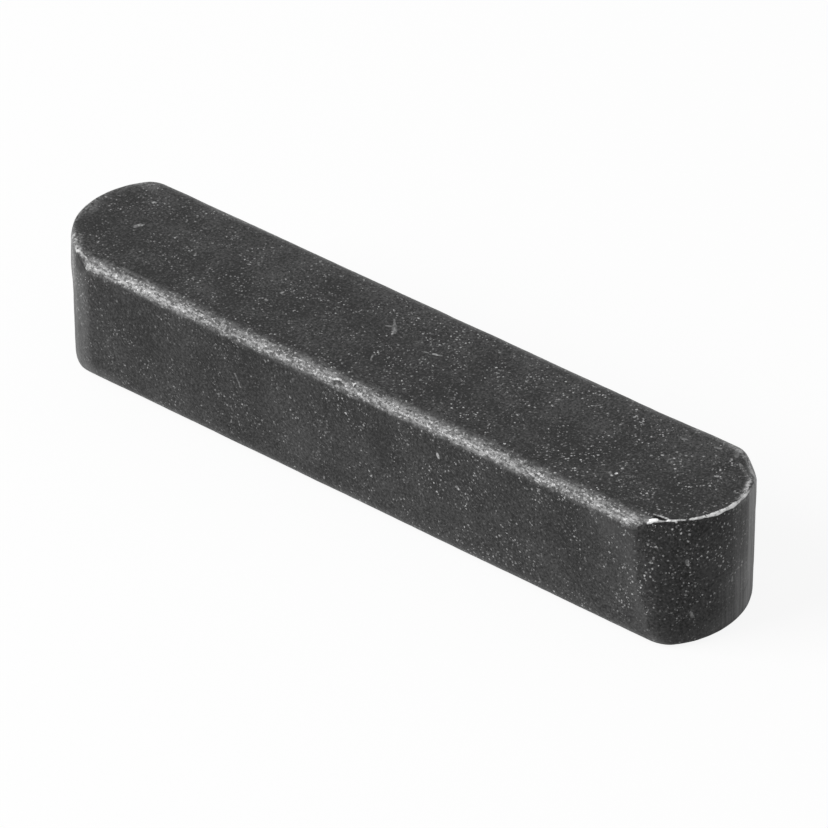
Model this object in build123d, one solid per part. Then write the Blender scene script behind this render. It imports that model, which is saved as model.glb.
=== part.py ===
from build123d import *
import os

# A round-ended parallel key: one bar of drawn key steel, cropped at both ends by a
# round-nosed tool. It lies in the keyway of a shaft and drives a hub by its two flanks.
#
# Frame: the origin is the middle of the bottom face. +X runs along the key, +Y across
# it from flank to flank, and +Z up through the top face.

# The drawn bar, in millimetres
key_length = 40.0  # over the two round ends
key_width = 8.0  # from flank to flank, the size that fits the keyway
key_height = 7.0  # from the bottom face to the top face
long_edge_radius = 0.9  # the four rounded long edges of the drawn bar

# The cropped ends. Each is one upright arc, a little flatter than a half circle, so that
# it meets the flanks at a blunt corner. The extra radius is what the arc has over half
# the key's width, and the offset puts its centre off the key's centre line, along Y.
right_end_extra_radius = 0.35
right_end_offset = -0.1
right_end_rim_radius = 0.25  # the softened rim all round the cropped face
left_end_extra_radius = 0.5
left_end_offset = 0.4
left_end_rim_radius = 0.15

# How far the cropping tool reaches past the bar
tool_overhang = 5.0


def drawn_bar():
    """The bar as drawn, cut square: a rounded rectangle carried along X."""
    section = Plane.YZ * RectangleRounded(key_width, key_height, long_edge_radius)
    bar = extrude(section, amount=key_length / 2, both=True)
    return Pos(0, 0, key_height / 2) * bar


def cropping_tool(side, extra_radius, offset):
    """The space in which the tool leaves the bar standing, at one end.

    side is +1 for the end at +X and -1 for the end at -X. In plan it is a circle that
    touches the end of the bar, and behind the circle's centre a slab as wide as it.
    """
    nose_radius = key_width / 2 + extra_radius
    centre_x = side * (key_length / 2 - nose_radius)
    slab_length = key_length + tool_overhang
    nose = Pos(centre_x, offset) * Circle(nose_radius)
    slab_centre_x = centre_x - side * slab_length / 2
    slab = Pos(slab_centre_x, offset) * Rectangle(slab_length, 2 * nose_radius)
    return extrude(nose + slab, amount=key_height + tool_overhang, both=True)


def parallel_key():
    """The finished key: the drawn bar, cropped round at both ends, the rims softened."""
    key = drawn_bar()
    key = key & cropping_tool(1, right_end_extra_radius, right_end_offset)
    key = key & cropping_tool(-1, left_end_extra_radius, left_end_offset)
    key = fillet(key.faces().sort_by(Axis.X)[-1].edges(), right_end_rim_radius)
    key = fillet(key.faces().sort_by(Axis.X)[0].edges(), left_end_rim_radius)
    return key


key = parallel_key()
key.label = "parallel_key"

os.makedirs("parts", exist_ok=True)
export_step(key, "parts/parallel_key.step")

print("volume", round(key.volume, 3), "mm3")
print("size", key.bounding_box().size)
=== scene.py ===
import math

import bpy
import bmesh
import numpy as np
from mathutils import Matrix, Vector


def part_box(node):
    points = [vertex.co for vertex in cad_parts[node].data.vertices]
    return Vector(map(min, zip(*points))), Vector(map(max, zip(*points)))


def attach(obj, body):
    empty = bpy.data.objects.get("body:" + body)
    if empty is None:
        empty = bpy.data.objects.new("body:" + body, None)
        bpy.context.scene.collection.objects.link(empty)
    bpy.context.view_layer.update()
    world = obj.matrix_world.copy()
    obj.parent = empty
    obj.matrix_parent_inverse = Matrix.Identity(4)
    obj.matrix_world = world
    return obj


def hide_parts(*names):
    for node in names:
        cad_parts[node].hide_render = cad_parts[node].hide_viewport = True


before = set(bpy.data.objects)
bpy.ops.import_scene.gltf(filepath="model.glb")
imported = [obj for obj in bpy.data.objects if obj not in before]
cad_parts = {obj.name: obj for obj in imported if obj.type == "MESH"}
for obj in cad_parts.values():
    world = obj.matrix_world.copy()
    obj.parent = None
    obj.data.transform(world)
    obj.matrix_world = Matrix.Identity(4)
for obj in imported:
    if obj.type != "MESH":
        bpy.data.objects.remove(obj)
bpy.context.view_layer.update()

# ---------------------------------------------------------------------------
# The key
# One bar of drawn key steel with rounded long edges, cropped round at both ends
# by a punch. It is one solid piece: nothing is fitted to it, and it lies loose.
# ---------------------------------------------------------------------------

MM = 0.001  # metres in a millimetre; the key's own sizes are in millimetres
key_low, key_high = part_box("parallel_key")
key_length, key_width, key_height = [size / MM for size in key_high - key_low]
half_length, half_width, half_height = key_length / 2, key_width / 2, key_height / 2

long_edge_radius = 0.9
flank_relief = 0.006  # the flanks and the two faces lie this far inside the full size,
face_relief = 0.006  # so that burrs can stand proud of them


def waves(points, wavelength, seed, count=28):
    """Smooth noise of about unit size: a sum of cosines of about one wavelength, whose
    directions and phases are drawn once from the seed."""
    draw = np.random.default_rng(seed)
    heading = draw.normal(size=(count, 3))
    heading /= np.linalg.norm(heading, axis=1)[:, None]
    stretch = draw.uniform(0.6, 1.6, count)
    phase = draw.uniform(0, 2 * np.pi, count)
    turn = points @ (heading * (stretch * 2 * np.pi / wavelength)[:, None]).T + phase
    return np.cos(turn).sum(-1) * math.sqrt(2 / count)


def ease(value, start, end):
    """Rises smoothly from nothing at the start to one at the end: three times the
    square of the share of the way, less twice its cube."""
    share = np.clip((value - start) / (end - start), 0, 1)
    return share * share * (3 - 2 * share)


def bell(points, centre, reach):
    """A bell of height one about a centre: it falls off with the square of the
    distance, which is measured in its own reach along X, Y and Z."""
    return np.exp(-(((points - np.array(centre)) / np.array(reach)) ** 2).sum(-1))


def groove(points, start, end, reach):
    """The same bell along a straight mark: the distance is taken from the nearest
    place on the line between its two ends."""
    start = np.array(start)
    run = np.array(end) - start
    share = np.clip((points - start) @ run / (run @ run), 0, 1)
    away = points - start - share[..., None] * run
    return np.exp(-((away / reach) ** 2).sum(-1))


def peak(value, middle, spread):
    """A peak of height one where a value is at its middle."""
    return np.exp(-(((value - middle) / spread) ** 2))


def round_meet(first, second, radius):
    """The part of space inside both surfaces, their meeting edge rounded: where both
    distances pass -radius, the skin is a circle of that radius."""
    corner = np.hypot(np.maximum(first + radius, 0), np.maximum(second + radius, 0))
    return np.minimum(np.maximum(first, second), -radius) + corner


def past_straights(points):
    """How far each point lies beyond the straight part of the bar's two faces, and
    beyond the straight part of its flanks."""
    straight_face = half_width - flank_relief - long_edge_radius
    straight_wall = half_height - face_relief - long_edge_radius
    past_flat = np.abs(points[..., 1]) - straight_face
    past_wall = np.abs(points[..., 2] - half_height) - straight_wall
    return past_flat, past_wall


def bar_distance(points):
    """Distance from the drawn bar's skin: a rectangle across the key whose four
    corners are arcs."""
    past_flat, past_wall = past_straights(points)
    corner = np.hypot(np.maximum(past_flat, 0), np.maximum(past_wall, 0))
    return corner + np.minimum(np.maximum(past_flat, past_wall), 0) - long_edge_radius


# Each cropped end is an upright arc that changes a little from the top of the key to
# the bottom, as the punch leaned in: the nose, the arc's radius and its centre off the
# centre line, first at the top and then at the bottom. The rim's rounding is given the
# same way. Then the places where the wall swells out, or was knocked in, each with its
# reach along X, Y and Z and how far.
cropped_ends = {
    +1: {
        "arc": ((19.98, 19.98), (4.01, 4.64), (0.14, -0.29)),
        "rim": (0.16, 0.45),
        "swells": (((16.9, -4.0, 6.3), (0.9, 0.9, 1.3), 0.19),),
    },
    -1: {
        "arc": ((20.0, 20.0), (4.36, 4.26), (0.35, 0.29)),
        "rim": (0.12, 0.10),
        "swells": (
            ((-16.2, -4.0, 3.5), (0.8, 0.9, 6.0), 0.115),
            ((-19.0, -2.3, 5.2), (0.9, 0.9, 0.9), 0.06),
        ),
    },
}


def end_distance(points, side):
    """Distance from the cropped end on one side: at each height a circle in plan that
    touches the nose, and behind its centre a slab that falls away from the flanks."""
    down = np.clip(1 - points[..., 2] / key_height, 0, 1)
    nose, radius, offset = [top + (low - top) * down for top, low in cropped_ends[side]["arc"]]
    past_centre = side * points[..., 0] - (nose - radius)
    to_side = points[..., 1] - offset
    fall_away = 0.15
    slab = np.minimum(past_centre, 0) * fall_away
    distance = np.hypot(np.maximum(past_centre, 0), to_side) - radius + slab
    for place, reach, swell in cropped_ends[side]["swells"]:
        distance = distance - swell * bell(points, place, reach)
    return distance


# Knocks rounded the rim on the right end's far side and on the left end's near side:
# each with its place, its reach along X, Y and Z, and how much more rounding.
pressed_rims = (
    ((18.57, 3.0, 7.0), (0.93, 0.93, 1.2), 0.87),
    ((-18.92, -2.36, 7.0), (0.7, 0.7, 0.8), 0.25),
)
# The far long edge stands a little fuller beside the right end.
far_edge_swell = ((16.2, 3.8, 6.8), (2.2, 0.5, 0.5), 0.07)


def key_distance(points):
    """Distance from the finished skin: the bar, met by both cropped ends, with the
    rims softer at the bottom, where the punch rolled the steel over."""
    place, reach, swell = far_edge_swell
    skin = bar_distance(points) - swell * bell(points, place, reach)
    down = np.clip(1 - points[..., 2] / key_height, 0, 1)
    pressed = sum(more * bell(points, place, reach) for place, reach, more in pressed_rims)
    for side in (+1, -1):
        top_rim, low_rim = cropped_ends[side]["rim"]
        rim = top_rim + (low_rim - top_rim) * down**3 + pressed
        skin = round_meet(skin, end_distance(points, side), rim)
    long_waves = 0.004 * waves(points, wavelength=3.2, seed=11)
    short_waves = 0.002 * waves(points, wavelength=0.9, seed=12)
    return skin + long_waves + short_waves


def spaced(stops):
    """Places from the first stop up to the last, which isn't counted. Each stop says
    where it is, and the step that is kept from there to the next one."""
    runs = []
    for (start, step), (end, _) in zip(stops[:-1], stops[1:]):
        count = round((end - start) / step)
        runs.append(np.linspace(start, end, count + 1)[:-1])
    return np.concatenate(runs)


def stations():
    """Places round the key in plan, as foot points on its spine and outward
    directions: along the front flank, round the right end, back, and round the left.
    They lie closer where the key is marked, and the two flanks share their places, so
    that the rows meet on the spine."""
    spine = half_length - half_width
    run = spaced(((-spine, 0.15), (-1.5, 0.06), (0.7, 0.15), (15.0, 0.10), (spine, 0)))
    turn = spaced(((0, 0.07), (4.5, 0.105), (np.pi * half_width, 0))) / half_width
    back_run = np.append(run[1:], spine)[::-1]
    front = np.stack([run, 0 * run, 0 * run, 0 * run - 1], 1)
    back = np.stack([back_run, 0 * run, 0 * run, 0 * run + 1], 1)
    right = np.stack([0 * turn + spine, 0 * turn, np.sin(turn), -np.cos(turn)], 1)
    return np.concatenate([front, right, back, -right])


def profile():
    """One upright half section, from the middle of the bottom face out to the wall and
    back to the middle of the top face, with the rows closest at the upper edges."""
    inner = half_width - long_edge_radius
    upright = half_height - long_edge_radius
    face = inner * (1 - np.linspace(1, 0, 13)[:-1] ** 1.3)
    wall = np.linspace(-1, 1, 40)[1:-1] * upright
    lower_arc = np.linspace(0, np.pi / 2, 15)
    upper_arc = np.linspace(np.pi / 2, 0, 27)
    out = [
        face,
        inner + long_edge_radius * np.sin(lower_arc),
        0 * wall + half_width,
        inner + long_edge_radius * np.sin(upper_arc),
        face[::-1],
    ]
    lift = [
        0 * face - half_height,
        -upright - long_edge_radius * np.cos(lower_arc),
        wall,
        upright + long_edge_radius * np.cos(upper_arc),
        0 * face + half_height,
    ]
    return np.concatenate(out), np.concatenate(lift)


def key_surface():
    """Every grid point runs out from the key's spine along its ray until the distance
    from the skin is nothing; the place is closed in on by halving."""
    place = stations()
    out, lift = profile()
    foot = np.zeros((len(place), 1, 3))
    foot[:, 0, 0] = place[:, 0]
    foot[:, 0, 2] = half_height
    flat = np.broadcast_to(lift, (len(place), len(lift)))
    ray = np.stack([place[:, 2:3] * out, place[:, 3:4] * out, flat], -1)
    # The skin lies somewhere between these two shares of each ray.
    near = np.full(ray.shape[:2], 0.6)
    far = np.full(ray.shape[:2], 1.3)
    for _ in range(24):
        middle = (near + far) / 2
        inside = key_distance(foot + ray * middle[..., None]) < 0
        near = np.where(inside, middle, near)
        far = np.where(inside, far, middle)
    return foot + ray * ((near + far) / 2)[..., None]


def skin_directions(points):
    """Outward directions of the skin, from how the distance changes along X, Y, Z."""
    step = 0.02
    rise = [
        key_distance(points + step * axis) - key_distance(points - step * axis)
        for axis in np.eye(3)
    ]
    rise = np.stack(rise, -1)
    return rise / np.linalg.norm(rise, axis=-1)[..., None]


def grid_mesh(name, points, marks):
    """A closed mesh from a grid that wraps round in its first direction, with the
    rows that run together on the spine welded. Each mark becomes an attribute."""
    around, rows = points.shape[:2]
    index = np.arange(around * rows).reshape(around, rows)
    ahead = np.roll(index, -1, axis=0)
    faces = np.stack([index[:, :-1], ahead[:, :-1], ahead[:, 1:], index[:, 1:]], -1).reshape(-1, 4)
    mesh = bpy.data.meshes.new(name)
    mesh.from_pydata((points.reshape(-1, 3) * MM).tolist(), [], faces.tolist())
    for mark, values in marks.items():
        mesh.attributes.new(mark, "FLOAT", "POINT").data.foreach_set("value", values.reshape(-1))
    weld_distance = 1e-7
    shape = bmesh.new()
    shape.from_mesh(mesh)
    bmesh.ops.remove_doubles(shape, verts=shape.verts, dist=weld_distance)
    bmesh.ops.recalc_face_normals(shape, faces=shape.faces)
    shape.to_mesh(mesh)
    shape.free()
    mesh.polygons.foreach_set("use_smooth", [True] * len(mesh.polygons))
    return mesh


skin = key_surface()
outward = skin_directions(skin)
along, across, up = np.moveaxis(skin, -1, 0)

# Across each rim: millimetres from the rim, above nothing on the bar and below it on
# the cropped end. Beside the right end's near corner the cropped wall starts earlier.
to_right_end = bar_distance(skin) - end_distance(skin, +1)
to_left_end = bar_distance(skin) - end_distance(skin, -1)
rim_offset = np.clip(np.minimum(to_right_end, to_left_end), -1.5, 1.5)
rim_offset = rim_offset - 0.06 * bell(skin, (17.0, -4.0, 2.6), (0.8, 0.8, 3.0))
high = ease(up, 4.5, 6.0)
right = ease(along, 16.0, 17.0)

# The burr round the right end's top rim: a ridge that starts as a lump at the corner,
# breaks once, swells twice, and thins out on the far side. Angles run round the end in
# degrees from the front flank; each swell has its angle, its spread and how much of
# the burr is there.
burr_centre_x = 15.8
burr_centre_y = 0.1
burr_angle = np.degrees(np.arctan2(along - burr_centre_x, burr_centre_y - across))
burr_swells = (
    (27, 3.5, 0.40),
    (40, 10, 0.42),
    (57, 6, 0.45),
    (72, 9, 0.95),
    (86, 5, 0.85),
    (98, 8, 0.55),
)
burr = sum(share * peak(burr_angle, angle, spread) for angle, spread, share in burr_swells)
burr = np.minimum(burr, 1.0) * ease(burr_angle, 24.8, 26.3)
burr = burr * (1 - 0.8 * peak(burr_angle, 52, 1.0)) * high * right
ridge = burr * peak(rim_offset, 0.01, 0.14)
lump = groove(skin, (17.69, -3.47, 6.88), (17.93, -3.31, 6.93), (0.08, 0.08, 0.08))

# Behind the lump lies a nick with a raised lip, and the worn front edge has two dents.
nick = groove(skin, (17.80, -3.19, 7.0), (18.24, -3.09, 7.0), (0.08, 0.065, 0.5))
lip = groove(skin, (17.66, -3.08, 7.0), (18.31, -2.97, 7.0), (0.06, 0.045, 0.5))
dents = bell(skin, (-0.86, -3.82, 6.61), (0.20, 0.13, 0.13))
dents = dents + bell(skin, (0.05, -3.63, 6.80), (0.09, 0.12, 0.12))

# How far the skin stands proud, or lies in, at each point.
ridge_height = 0.016 + 0.012 * waves(skin, wavelength=0.45, seed=31)
height = ridge * ridge_height + 0.05 * lump - 0.10 * nick
height = height + 0.02 * lip - 0.035 * dents
skin = skin + outward * height[..., None]
skin = np.clip(skin, np.array(key_low) / MM, np.array(key_high) / MM)
along, across, up = np.moveaxis(skin, -1, 0)

# Metal rubbed light by knocks, with a painted highlight on the rims they rounded: on the
# right end's pressed far rim, along the left end's far rim, and at the left end's near
# corner. Knocks along a rim and knocks on a spot have a place, a reach along X, Y and Z
# and a strength; rubs have two ends.
rub_width = 0.19
soft_rim = np.exp(-np.abs(rim_offset) / rub_width) * high
rim_knocks = (
    ((-19.9, -0.4, 7.0), (0.8, 1.6, 1.0), 0.55),
    ((-19.1, 2.9, 7.0), (1.0, 1.5, 1.0), 0.52),
    ((-18.60, -2.75, 6.9), (0.6, 0.7, 0.3), 0.55),
)
spot_knocks = (
    ((19.85, 0.75, 6.80), (0.30, 0.60, 0.16), 0.25),
    ((-19.50, -0.45, 7.0), (0.30, 0.55, 0.5), 0.14),
    ((-18.62, 2.90, 7.0), (0.40, 0.25, 0.5), 0.22),
    ((-17.75, -3.32, 6.95), (0.24, 0.17, 0.16), 0.50),
)
rubs = (
    ((17.0, 3.52, 6.95), (18.2, 3.18, 6.92), (0.18, 0.18, 0.22), 0.62),
    ((-18.66, -2.60, 6.95), (-17.95, -3.02, 7.0), (0.14, 0.14, 0.14), 0.45),
    ((-18.35, -3.02, 6.8), (-18.30, -3.05, 5.2), (0.26, 0.26, 0.9), 0.32),
)
pressed_rim = peak(rim_offset, -0.05, 0.22) * high
knocked_and_highlight = 1.3 * pressed_rim * bell(skin, (18.75, 2.70, 7.0), (0.95, 0.95, 1.0))
knocked_and_highlight += sum(share * soft_rim * bell(skin, place, reach) for place, reach, share in rim_knocks)
knocked_and_highlight += sum(share * bell(skin, place, reach) for place, reach, share in spot_knocks)
knocked_and_highlight += sum(share * groove(skin, start, end, reach) for start, end, reach, share in rubs)
# Past the burr's end a rubbed line leaves the rim and runs on inside it.
inside_rim = 0.10 + 0.14 * ease(burr_angle, 96, 112)
beside_burr = peak(burr_angle, 106, 12) * peak(rim_offset, inside_rim, 0.10)
knocked_and_highlight += 1.2 * beside_burr * high * right

# Across each long edge: nothing on the flank, one on the flat face.
past_flat, past_wall = past_straights(skin)
turned = np.arctan2(np.maximum(past_wall, 0), np.maximum(past_flat, 1e-6)) / (np.pi / 2)
turned = np.where(past_flat <= 0, 1.0, turned)

# The cropped ends are streaked where the punch slid, with a painted sheen over the
# streaks, most on their outer sides: on the right end past its nose and lower down, on
# the left end before it. Angles run round each end in degrees from the front flank.
end_centre = 15.6
end_angle = np.degrees(np.arctan2(np.abs(along) - end_centre, -across))
past_nose = 0.32 * ease(end_angle, 74, 104) + 0.55 * ease(end_angle, 98, 122)
past_nose += 0.50 * ease(end_angle, 101, 109)
past_nose += 0.30 * ease(end_angle, 68, 102) * (1 - ease(up, 2.0, 4.2))
past_nose += 0.15 * ease(end_angle, 50, 78) * (1 - ease(up, 0.5, 1.6))
before_nose = 0.19 * ease(end_angle, 13, 42)
before_nose *= 1 - bell(skin, (-17.6, -3.5, 6.3), (0.35, 0.4, 0.5))
streaks_and_sheen = np.where(along > 0, past_nose, before_nose)

# Painted shade: the flat faces are painted darker, most in front of their middle and least
# at the rear, and the flanks darker upwards, under the worn edge, and towards the left end.
on_flank = 1 - ease(turned, 0.0, 0.9)
on_face = (1 - on_flank) * ease(np.abs(up - half_height), 2.6, 3.4)
face_shade = 0.085 + 0.055 * peak(across, -1.1, 0.8)
face_shade = face_shade + 0.030 * ease(-across, 2.5, 3.1) - 0.080 * ease(across, 1.6, 3.1)
flank_shade = 0.034 + 0.040 * ease(up, 2.2, 4.8) + 0.015 * ease(-along, 4.0, 16.0)
painted_shade = face_shade * on_face + flank_shade * on_flank * (rim_offset > 0)

# How much more or less the worn edges are rubbed, and painted with their highlight,
# along the key's length, and where the band reaches further down the flank. Each stretch
# has its middle, spread and share.
rubbed_more = (
    (-13.2, 2.4, 0.38),
    (-7.8, 1.6, -0.24),
    (-4.2, 0.9, -0.12),
    (7.0, 1.8, 0.10),
    (12.3, 1.8, -0.15),
    (16.8, 0.7, 0.20),
)
rubbed_lower = (
    (-14.8, 1.4, -0.8),
    (-7.4, 2.4, 1.0),
    (-0.6, 1.0, 1.0),
    (5.6, 0.9, -0.5),
    (16.6, 0.7, 1.0),
)
band_strength = 1 + sum(share * peak(along, middle, spread) for middle, spread, share in rubbed_more)
lower = sum(share * peak(along, middle, spread) for middle, spread, share in rubbed_lower)
turned = turned + 0.035 * lower * (turned < 0.9)

key = bpy.data.objects.new(
    "key",
    grid_mesh(
        "key",
        skin,
        {
            "rim_offset": rim_offset,
            "edge_turn": turned,
            "upper": ease(up, 3.0, 4.0),
            "lowest": 1 - ease(up, 0.25, 1.3),
            "burr": np.clip(burr, 0, 1),
            "lump": lump,
            "knocked_and_highlight": np.clip(knocked_and_highlight, 0, 1),
            "streaks_and_sheen": np.clip(streaks_and_sheen, 0, 1),
            "painted_shade": painted_shade,
            "band_strength": band_strength,
        },
    ),
)
bpy.context.scene.collection.objects.link(key)


def key_steel():
    """Black drawn steel: dark and satin, grained and flecked, brighter where worn, with
    painted highlights, glints, sheen and shade.
    """
    material = bpy.data.materials.new("key_steel")
    material.use_nodes = True
    nodes = material.node_tree.nodes
    links = material.node_tree.links
    shader = nodes["Principled BSDF"]
    place = nodes.new("ShaderNodeTexCoord").outputs["Object"]

    def put(socket, value):
        """Links a socket where the value comes from a node, and sets it otherwise."""
        if isinstance(value, bpy.types.NodeSocket):
            links.new(value, socket)
        else:
            socket.default_value = value

    def maths(operation, first, second=0.0, third=0.0, clamp=False):
        node = nodes.new("ShaderNodeMath")
        node.operation = operation
        node.use_clamp = clamp
        for socket, value in zip(node.inputs, (first, second, third)):
            put(socket, value)
        return node.outputs[0]

    def times(first, second):
        return maths("MULTIPLY", first, second)

    def times_plus(first, second, more):
        return maths("MULTIPLY_ADD", first, second, more)

    def larger(first, second):
        return maths("MAXIMUM", first, second)

    def opposite(share):
        """What is left of one when a share is taken from it."""
        return maths("SUBTRACT", 1.0, share)

    def vector_maths(operation, first, second, third=(0.0, 0.0, 0.0)):
        node = nodes.new("ShaderNodeVectorMath")
        node.operation = operation
        for socket, value in zip(node.inputs, (first, second, third)):
            put(socket, value)
        return node.outputs["Value" if operation in ("DOT_PRODUCT", "DISTANCE") else "Vector"]

    def mapped(scale=(1, 1, 1), turn=(0, 0, 0), shift=(0, 0, 0)):
        """Object coordinates scaled along each axis, then turned, then shifted."""
        node = nodes.new("ShaderNodeMapping")
        node.inputs["Scale"].default_value = scale
        node.inputs["Rotation"].default_value = turn
        node.inputs["Location"].default_value = shift
        links.new(place, node.inputs["Vector"])
        return node.outputs["Vector"]

    def blur(scale, detail=1.0, roughness=0.5, vector=place, output="Fac"):
        """Cloudy noise between nothing and one, about a half."""
        node = nodes.new("ShaderNodeTexNoise")
        node.inputs["Scale"].default_value = scale
        node.inputs["Detail"].default_value = detail
        node.inputs["Roughness"].default_value = roughness
        put(node.inputs["Vector"], vector)
        return node.outputs[output]

    def centred(noise):
        """The same noise about nothing."""
        return maths("SUBTRACT", noise, 0.5)

    def between(value, low, high, to_low=0.0, to_high=1.0):
        """Carries a value smoothly from one range to another and stops at its ends."""
        node = nodes.new("ShaderNodeMapRange")
        node.interpolation_type = "SMOOTHSTEP"
        names = ("Value", "From Min", "From Max", "To Min", "To Max")
        for name, number in zip(names, (value, low, high, to_low, to_high)):
            put(node.inputs[name], number)
        return node.outputs["Result"]

    def attribute(name):
        node = nodes.new("ShaderNodeAttribute")
        node.attribute_name = name
        return node.outputs["Fac"]

    def speckle(scale, radius, vector):
        """Small light flecks, one in each cell, each with its own size and strength,
        their outlines bent by noise."""
        wobble = blur(scale * 2.2, 2.0, 0.5, vector, "Color")
        bent = vector_maths("MULTIPLY_ADD", wobble, (0.9 / scale,) * 3, vector)
        cell = nodes.new("ShaderNodeTexVoronoi")
        cell.inputs["Scale"].default_value = scale
        links.new(bent, cell.inputs["Vector"])
        split = nodes.new("ShaderNodeSeparateColor")
        links.new(cell.outputs["Color"], split.inputs["Color"])
        reach = times_plus(split.outputs["Green"], radius, radius * 0.4)
        dot = between(maths("DIVIDE", cell.outputs["Distance"], reach), 0.45, 1.0, 1.0, 0.0)
        return times(dot, maths("POWER", split.outputs["Red"], 2.5))

    def scratch(start, end, width, where):
        """A mark from one point to another, in millimetres: nothing beyond its width
        from the line between them."""
        start, end = Vector(start) * MM, Vector(end) * MM
        run = end - start
        from_start = vector_maths("SUBTRACT", where, start)
        share = vector_maths("DOT_PRODUCT", from_start, run / run.length_squared)
        share = maths("MULTIPLY", share, 1.0, clamp=True)
        nearest = vector_maths("MULTIPLY_ADD", share, run, start)
        away = vector_maths("DISTANCE", where, nearest)
        return between(away, width * 0.4 * MM, width * MM, 1.0, 0.0)

    def drawn(where, marks):
        """The strongest of a few scratches at each point. Each has its start, its end,
        its width and its strength."""
        strongest = 0.0
        for start, end, width, strength in marks:
            strongest = larger(strongest, times(scratch(start, end, width, where), strength))
        return strongest

    def grey(level):
        return level, level, level, 1

    def paint(under, colour, amount):
        node = nodes.new("ShaderNodeMix")
        node.data_type = "RGBA"
        put(node.inputs["Factor"], amount)
        put(node.inputs[6], under)
        put(node.inputs[7], colour)
        return node.outputs[2]

    # The steel's own unevenness, from fine grain to wide clouds. Where a pattern would
    # line up with the key's faces, it is turned out of line with them.
    grain = blur(8200.0, 2.0, 0.6, mapped(turn=(0.7, 0.4, 1.2)))
    lumps = blur(3200.0, 2.0, 0.6, mapped(turn=(0.4, 0.9, 0.5)))
    clouds = blur(420.0, 3.0, 0.55)
    axes = nodes.new("ShaderNodeSeparateXYZ")
    links.new(place, axes.inputs[0])
    place_along, place_across, place_up = axes.outputs

    # Coordinates bent by noise, so that a straight mark comes out ragged.
    bend = 0.00016
    bent_place = vector_maths(
        "MULTIPLY_ADD",
        blur(5000.0, 2.0, output="Color"),
        (bend, bend, bend),
        mapped(shift=(-bend / 2, -bend / 2, -bend / 2)),
    )

    # Where the surface is bar and where it is cropped, parted by a ragged line.
    offset = attribute("rim_offset")
    unevenness = between(attribute("edge_turn"), 0.0, 0.3, 0.08, 0.26)
    ragged = times_plus(centred(lumps), unevenness, offset)
    cropped = between(ragged, -0.05, 0.05, 1.0, 0.0)

    # The worn band along each long edge, painted both as rubbed metal and as the highlight
    # on the rounding: strongest where it turns away from the flank, fading over the flat face
    # and weaker on the lower edges, rubbed in clumps and short drawn lines, with painted
    # glints in it.
    turned = times_plus(centred(blur(1700.0, 2.0)), 0.16, attribute("edge_turn"))
    rising = between(turned, 0.115, 0.40)
    first_fall = between(turned, 0.38, 0.54, 1.0, 0.70)
    second_fall = between(turned, 0.52, 1.02, 1.0, 0.0)
    band = times(rising, times(first_fall, second_fall))
    band = times(band, opposite(cropped))
    band = times(band, between(attribute("upper"), 0.0, 1.0, 0.35, 1.0))
    band = times(band, attribute("band_strength"))
    patches = blur(1.0, 3.0, 0.75, mapped(scale=(8600, 8600, 8600), turn=(0.6, 0, 0)))
    drawn_lines = blur(1.0, 2.0, 0.6, mapped(scale=(2600, 7600, 7600), turn=(1.0, 0, 0)))
    clumps = between(times_plus(drawn_lines, 0.5, times(patches, 0.5)), 0.39, 0.62, 0.16, 1.22)
    rubbed_and_highlight = times(band, clumps)
    points = blur(1.0, 2.0, 0.6, mapped(scale=(6000, 9500, 9500), turn=(0.3, 0, 0)))
    painted_sparkle = times(between(points, 0.56, 0.68), between(band, 0.15, 0.6))

    # The bright burr: a line along the rim that is wider where there is more of it, painted
    # both as bright burred metal and as the highlight on the rim's small rounding.
    burr = attribute("burr")
    torn = times_plus(centred(blur(6500.0, 2.0)), 0.12, offset)
    from_rim = maths("ABSOLUTE", times_plus(burr, 0.03, torn))
    from_rim = times_plus(burr, -0.13, from_rim)
    rim = times(between(from_rim, -0.03, 0.04, 1.0, 0.0), between(burr, 0.05, 0.35))
    rim = times(rim, between(blur(4800.0, 3.0, 0.7), 0.34, 0.54, 0.50, 1.05))
    rim = times(rim, between(burr, 0.2, 0.8, 0.75, 1.1))
    rim = larger(rim, between(attribute("lump"), 0.30, 0.60))

    # Knocks and their painted highlight are mottled. The lowest part of each rim is
    # lighter, and so is the flank beside the right end's near corner.
    mottle = between(blur(5600.0, 3.0, 0.7), 0.38, 0.60, 0.10, 1.2)
    knocks_and_highlight = times(attribute("knocked_and_highlight"), mottle)
    low_rim = between(maths("ABSOLUTE", ragged), 0.02, 0.30, 0.25, 0.0)
    low_rim = times(low_rim, attribute("lowest"))
    beside_corner = times(between(ragged, 0.05, 0.40, 0.14, 0.0), opposite(cropped))
    beside_corner = times(beside_corner, between(turned, 0.0, 0.25, 1.0, 0.0))
    beside_corner = times(beside_corner, between(place_along, 0.012, 0.016))
    low_rim = larger(low_rim, beside_corner)

    # The outer sides of each cropped end are streaked upright, with a painted sheen
    # making them a little lighter.
    streaks = blur(1.0, 3.0, 0.7, mapped(scale=(6500, 6500, 110)))
    streaked_and_sheen = times(cropped, attribute("streaks_and_sheen"))
    streaked_and_sheen = times(streaked_and_sheen, between(streaks, 0.32, 0.68, 0.42, 1.0))

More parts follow.
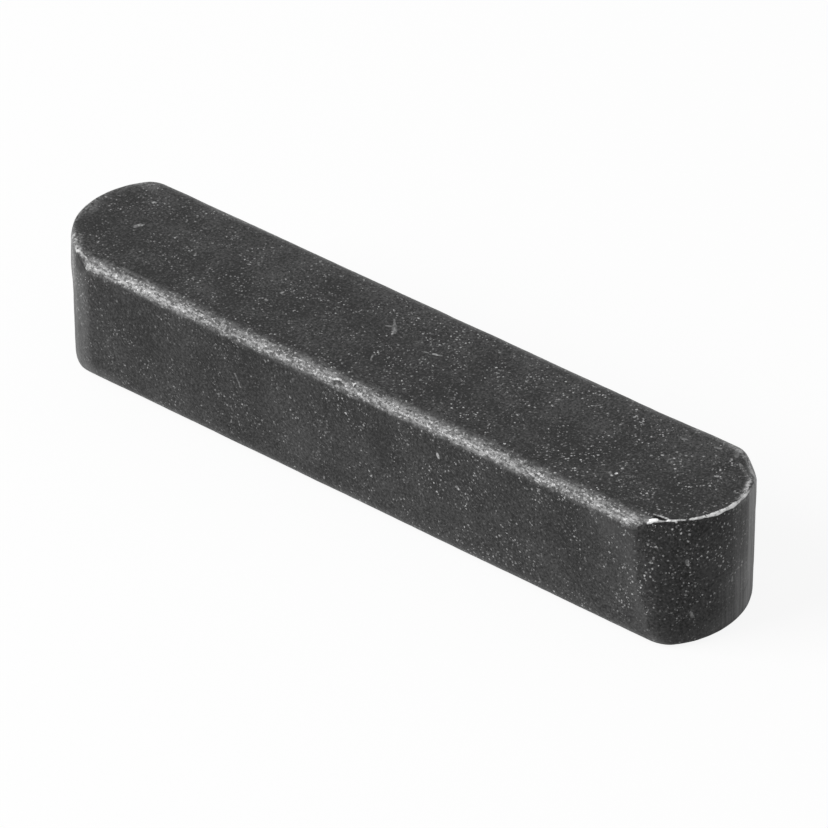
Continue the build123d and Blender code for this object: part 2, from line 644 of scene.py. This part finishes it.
    # Light flecks of three sizes, thicker in some places than in others, and fewer
    # towards the left end.
    clusters = between(blur(700.0, 3.0, 0.6), 0.36, 0.66, 0.15, 1.0)
    clusters = times(clusters, between(place_along, -0.018, 0.012, 0.64, 1.04))
    fine = times(speckle(7200.0, 0.38, mapped(turn=(0.5, 0.3, 0.9))), clusters)
    fine = times(fine, times_plus(cropped, 0.22, 1.0))
    middling = times(speckle(4200.0, 0.26, mapped(turn=(1.1, 0.7, 0.2))), clusters)
    middling = times(middling, times_plus(cropped, -0.35, 1.0))
    coarse = times(speckle(1500.0, 0.12, mapped(turn=(0.2, 1.3, 0.6))), 0.6)
    flecks = larger(fine, larger(middling, coarse))
    on_flank = maths("SUBTRACT", between(turned, 0.0, 0.5, 1.0, 0.0), cropped, clamp=True)
    flecks = times(flecks, times_plus(cropped, 0.24, times_plus(on_flank, -0.34, 1.12)))
    # On the cropped ends they thin out downwards and past the near corner.
    thinned = between(place_up, 0.0010, 0.0045, 0.62, 0.0)
    thinned = larger(thinned, between(place_across, -0.0030, -0.0014, 0.0, 0.32))
    flecks = times(flecks, opposite(times(thinned, cropped)))

    # The light marks that stand out.
    marks = drawn(
        bent_place,
        (
            # A chip in the top face near the left end
            ((-16.80, -0.20, 7), (-16.66, 0.02, 7), 0.15, 0.60),
            ((-16.67, 0.00, 7), (-16.58, 0.12, 7), 0.08, 0.25),
            # A forked scratch across the middle of the top face
            ((-1.90, 1.55, 7), (-1.50, 1.10, 7), 0.08, 0.24),
            ((-1.50, 1.10, 7), (-1.20, 0.69, 7), 0.15, 0.34),
            ((-1.85, 0.90, 7), (-1.50, 1.05, 7), 0.08, 0.22),
            # A broken scratch beside it, along the key
            ((0.96, 0.33, 7), (1.14, 0.37, 7), 0.07, 0.26),
            ((1.14, 0.37, 7), (1.37, 0.34, 7), 0.06, 0.18),
            ((1.41, 0.47, 7), (1.63, 0.52, 7), 0.08, 0.50),
            ((1.63, 0.52, 7), (1.80, 0.61, 7), 0.07, 0.40),
            # A short hooked scratch in front of them
            ((-0.75, -1.35, 7), (-0.66, -1.60, 7), 0.06, 0.34),
            ((-0.66, -1.60, 7), (-0.51, -1.79, 7), 0.06, 0.26),
            # Two nicks between them and the left end
            ((-7.76, -1.04, 7), (-7.66, -1.05, 7), 0.08, 0.50),
            ((-7.52, -0.16, 7), (-7.53, -0.02, 7), 0.10, 0.42),
            # Small chips in the top face towards the right end
            ((17.90, 1.02, 7), (18.10, 1.13, 7), 0.08, 0.50),
            ((16.49, 2.81, 7), (16.76, 2.91, 7), 0.09, 0.28),
            ((13.92, -1.80, 7), (14.02, -1.86, 7), 0.09, 0.30),
            ((14.85, 2.42, 7), (15.05, 2.51, 7), 0.12, 0.30),
            # A faint rubbed line inside the right end's far rim
            ((17.62, 3.02, 7), (17.70, 2.86, 7), 0.16, 0.16),
            ((18.24, 2.50, 7), (18.54, 2.34, 7), 0.13, 0.26),
            ((18.54, 2.34, 7), (18.82, 2.10, 7), 0.12, 0.20),
            ((18.82, 2.10, 7), (19.06, 1.90, 7), 0.12, 0.16),
            # Chips and a scratch on the front flank
            ((6.53, -4, 4.05), (6.60, -4, 4.00), 0.09, 0.75),
            ((5.37, -4, 5.41), (5.43, -4, 5.26), 0.13, 0.60),
            ((-7.20, -4, 4.52), (-7.04, -4, 4.20), 0.07, 0.26),
            ((-7.04, -4, 4.20), (-6.88, -4, 3.92), 0.08, 0.36),
            # Chips in the right end's wall
            ((19.11, -2.57, 4.75), (19.15, -2.53, 4.52), 0.12, 0.62),
            ((19.33, -2.51, 1.90), (19.36, -2.47, 1.61), 0.09, 0.32),
            ((19.97, -0.28, 2.93), (19.97, -0.27, 2.70), 0.08, 0.30),
        ),
    )
    marks = times(marks, between(blur(5200.0, 2.0), 0.40, 0.60, 0.35, 1.1))

    # Bright raised metal, with a painted highlight where the lips face the light.
    lips = drawn(
        place,
        (
            # Three burnished dots in the top face
            ((14.14, -1.93, 6.99), (14.18, -1.94, 6.99), 0.070, 0.80),
            ((14.22, -1.71, 6.99), (14.23, -1.66, 6.99), 0.080, 0.95),
            ((14.18, -1.20, 6.99), (14.19, -1.17, 6.99), 0.075, 0.42),
            # The nick's upper lip and its lower one
            ((17.58, -3.12, 7.0), (17.93, -3.03, 7.0), 0.065, 0.26),
            ((17.93, -3.03, 7.0), (18.31, -2.98, 6.99), 0.065, 0.40),
            ((17.90, -3.39, 6.86), (18.15, -3.23, 6.91), 0.06, 0.50),
            ((18.15, -3.23, 6.91), (18.42, -3.01, 6.95), 0.06, 0.42),
            # The upper lips of the two dents
            ((-1.15, -3.73, 6.71), (-1.04, -3.68, 6.76), 0.06, 0.24),
            ((-1.04, -3.68, 6.76), (-0.90, -3.68, 6.76), 0.07, 0.36),
            ((-0.90, -3.68, 6.76), (-0.78, -3.67, 6.77), 0.06, 0.30),
            ((0.00, -3.54, 6.86), (-0.06, -3.60, 6.82), 0.045, 0.50),
            ((-0.06, -3.60, 6.82), (-0.03, -3.67, 6.77), 0.045, 0.45),
            # Round the left end's knocked corner
            ((-17.91, -3.26, 6.97), (-17.79, -3.22, 6.98), 0.08, 0.16),
            ((-17.79, -3.22, 6.98), (-17.62, -3.30, 6.97), 0.08, 0.10),
            ((-17.62, -3.30, 6.97), (-17.56, -3.43, 6.92), 0.10, 0.26),
            ((-17.56, -3.43, 6.92), (-17.70, -3.46, 6.86), 0.10, 0.40),
            ((-17.70, -3.46, 6.86), (-17.84, -3.37, 6.90), 0.09, 0.14),
            # The edge from that corner to the worn band
            ((-17.52, -3.44, 6.92), (-17.15, -3.55, 6.86), 0.06, 0.26),
            ((-17.15, -3.55, 6.86), (-16.60, -3.72, 6.73), 0.06, 0.12),
            ((-16.72, -3.87, 6.50), (-16.55, -3.84, 6.58), 0.11, 0.26),
        ),
    )
    lips = times(lips, between(blur(6000.0, 2.0), 0.38, 0.60, 0.55, 1.15))

    # A dark patch painted under the left end's knocked corner, widest at its top.
    dark_patch = drawn(
        bent_place,
        (
            ((-17.46, -3.57, 6.77), (-16.88, -3.78, 6.63), 0.13, 0.85),
            ((-17.46, -3.61, 6.56), (-16.92, -3.81, 6.46), 0.24, 0.95),
            ((-17.50, -3.60, 6.24), (-17.10, -3.77, 6.18), 0.28, 0.95),
            ((-17.68, -3.49, 6.50), (-17.66, -3.52, 6.02), 0.22, 0.70),
            ((-17.36, -3.66, 5.92), (-17.26, -3.71, 5.70), 0.22, 0.50),
        ),
    )
    dark_patch = times(dark_patch, between(blur(5200.0, 3.0, 0.75), 0.38, 0.58, 0.40, 1.0))
    dark_patch = times(dark_patch, maths("SUBTRACT", 1.0, flecks, clamp=True))

    # Painted shade in the hollows.
    hollow_shade = drawn(
        place,
        (
            # The nick
            ((17.78, -3.19, 6.97), (18.05, -3.15, 6.97), 0.15, 1.0),
            ((18.05, -3.15, 6.97), (18.24, -3.09, 6.97), 0.12, 1.0),
            # The crack and the pit in the burr
            ((18.96, -2.56, 6.97), (19.00, -2.36, 6.90), 0.03, 0.6),
            ((19.47, -1.69, 6.95), (19.51, -1.65, 6.93), 0.05, 0.8),
            # The larger dent: its left side, its top, its right side and its floor
            ((-1.09, -3.80, 6.64), (-1.06, -3.87, 6.53), 0.09, 0.85),
            ((-1.07, -3.79, 6.65), (-0.94, -3.76, 6.69), 0.08, 0.80),
            ((-0.94, -3.76, 6.69), (-0.77, -3.75, 6.70), 0.07, 0.80),
            ((-0.77, -3.75, 6.70), (-0.66, -3.77, 6.68), 0.07, 0.80),
            ((-0.98, -3.81, 6.62), (-0.72, -3.80, 6.64), 0.13, 0.64),
            ((-0.70, -3.83, 6.60), (-0.68, -3.86, 6.55), 0.06, 0.45),
            # The smaller dent
            ((0.04, -3.59, 6.82), (0.05, -3.67, 6.76), 0.065, 0.80),
            # A hole in the left end's knocked corner
            ((-17.76, -3.35, 6.94), (-17.73, -3.38, 6.93), 0.05, 0.7),
            # A scratch low on the right end
            ((19.88, 0.76, 1.50), (19.76, 1.22, 1.80), 0.05, 0.45),
        ),
    )

    # The bare finish, darker or lighter with the unevenness; it has more contrast on the
    # flat faces than on the flanks.
    shade = times_plus(centred(lumps), 0.20, grain)
    shade = times_plus(centred(shade), between(turned, 0.0, 1.0, 0.78, 1.12), 0.5)
    clouding = times(centred(clouds), between(turned, 0.0, 1.0, 0.28, 0.55))
    # Less the painted shade on the faces and flanks.
    shade = maths("SUBTRACT", maths("ADD", shade, clouding), attribute("painted_shade"))
    colour = paint(grey(0.012), grey(0.053), between(shade, 0.26, 0.74))

    # Over it, one upon another: each layer's grey, and how much of it there is.
    # Painted shade: the cropped walls darker from a little way past their rims.
    end_wall_shade = between(offset, -0.9, -0.1, 1.0, 0.0)
    layers = (
        # Painted light: paler towards the bottom, near the white floor.
        (0.13, times(attribute("lowest"), 0.16)),
        (0.0, times(times(cropped, end_wall_shade), 0.20)),
        (0.28, streaked_and_sheen),
        (0.17, low_rim),
        (0.42, flecks),
        (0.42, marks),
        (0.16, rubbed_and_highlight),
        (0.44, times(painted_sparkle, 0.60)),
        (0.42, knocks_and_highlight),
        (0.008, dark_patch),
        (0.72, rim),
        (0.002, hollow_shade),
        (0.72, lips),
    )
    for level, amount in layers:
        colour = paint(colour, grey(level), amount)
    put(shader.inputs["Base Color"], colour)
    worn = larger(rubbed_and_highlight, larger(rim, knocks_and_highlight))
    put(shader.inputs["Metallic"], maths("MULTIPLY", worn, 0.25, clamp=True))
    put(shader.inputs["Roughness"], between(rubbed_and_highlight, 0.0, 1.0, 0.50, 0.42))
    shader.inputs["Specular IOR Level"].default_value = 0.13

    bump = nodes.new("ShaderNodeBump")
    bump.inputs["Strength"].default_value = 1.0
    bump.inputs["Distance"].default_value = 0.000013
    links.new(times_plus(lumps, 0.8, grain), bump.inputs["Height"])
    links.new(bump.outputs["Normal"], shader.inputs["Normal"])
    return material


key.data.materials.append(key_steel())
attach(key, "root")
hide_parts("parallel_key")

# ---------------------------------------------------------------------------
# The camera
# A long lens from the front right, above, tipped by less than a degree.
# ---------------------------------------------------------------------------

camera_azimuth = math.radians(40.445)
camera_elevation = math.radians(34.961)
camera_roll = math.radians(-0.844)
camera_place = Vector((0.200737, -0.234827, 0.219168))

lens = bpy.data.cameras.new("camera")
lens.lens = 344.58
lens.sensor_width = 36.0
lens.clip_start = 0.01
lens.clip_end = 20.0
camera = bpy.data.objects.new("camera", lens)
bpy.context.scene.collection.objects.link(camera)
turn = (
    Matrix.Rotation(camera_azimuth, 4, "Z")
    @ Matrix.Rotation(math.pi / 2 - camera_elevation, 4, "X")
    @ Matrix.Rotation(camera_roll, 4, "Z")
)
camera.matrix_world = Matrix.Translation(camera_place) @ turn
bpy.context.scene.camera = camera

# ---------------------------------------------------------------------------
# The floor
# A wide white table that keeps a soft shadow under the key.
# ---------------------------------------------------------------------------

floor_size = 8.0
table_grey = 0.7
table_roughness = 0.9
own_white = 0.90  # the share of plain white that the camera sees on it

bpy.ops.mesh.primitive_plane_add(size=floor_size, location=(0, 0, key_low.z))
floor = bpy.context.object
floor.name = "floor"
table = bpy.data.materials.new("white_table")
table.use_nodes = True
nodes = table.node_tree.nodes
links = table.node_tree.links
table_shader = nodes["Principled BSDF"]
table_shader.inputs["Base Color"].default_value = (table_grey, table_grey, table_grey, 1)
table_shader.inputs["Roughness"].default_value = table_roughness
white = nodes.new("ShaderNodeEmission")
white.inputs["Strength"].default_value = 1.0
seen = nodes.new("ShaderNodeLightPath")
seen_white = nodes.new("ShaderNodeMath")
seen_white.operation = "MULTIPLY"
seen_white.inputs[1].default_value = own_white
links.new(seen.outputs["Is Camera Ray"], seen_white.inputs[0])
blend = nodes.new("ShaderNodeMixShader")
links.new(seen_white.outputs[0], blend.inputs["Fac"])
links.new(table_shader.outputs[0], blend.inputs[1])
links.new(white.outputs[0], blend.inputs[2])
links.new(blend.outputs[0], nodes["Material Output"].inputs["Surface"])
floor.data.materials.append(table)

# ---------------------------------------------------------------------------
# The light
# A white room, seen and mirrored in full but half as strong on what it lights, and
# one square soft panel above the key's front left.
# ---------------------------------------------------------------------------

room_light = 0.5
room_seen = 1.0

world = bpy.data.worlds.new("room")
world.use_nodes = True
nodes = world.node_tree.nodes
links = world.node_tree.links
background = nodes["Background"]
background.inputs["Color"].default_value = (1, 1, 1, 1)
path = nodes.new("ShaderNodeLightPath")
seen_or_mirrored = nodes.new("ShaderNodeMath")
seen_or_mirrored.operation = "MAXIMUM"
links.new(path.outputs["Is Camera Ray"], seen_or_mirrored.inputs[0])
links.new(path.outputs["Is Glossy Ray"], seen_or_mirrored.inputs[1])
strength = nodes.new("ShaderNodeMapRange")
strength.inputs["To Min"].default_value = room_light
strength.inputs["To Max"].default_value = room_seen
links.new(seen_or_mirrored.outputs[0], strength.inputs["Value"])
links.new(strength.outputs[0], background.inputs["Strength"])
bpy.context.scene.world = world

panel_side = 0.40
panel_watts = 5.2
panel_distance = 0.6
toward_panel = Vector((-0.53, -0.62, 0.58)).normalized()

lamp = bpy.data.lights.new("panel_front_left", "AREA")
lamp.shape = "RECTANGLE"
lamp.size = panel_side
lamp.size_y = panel_side
lamp.energy = panel_watts
panel = bpy.data.objects.new("panel_front_left", lamp)
bpy.context.scene.collection.objects.link(panel)
panel.location = toward_panel * panel_distance
panel.rotation_euler = toward_panel.to_track_quat("Z", "Y").to_euler()

bpy.context.scene.view_settings.view_transform = "Standard"
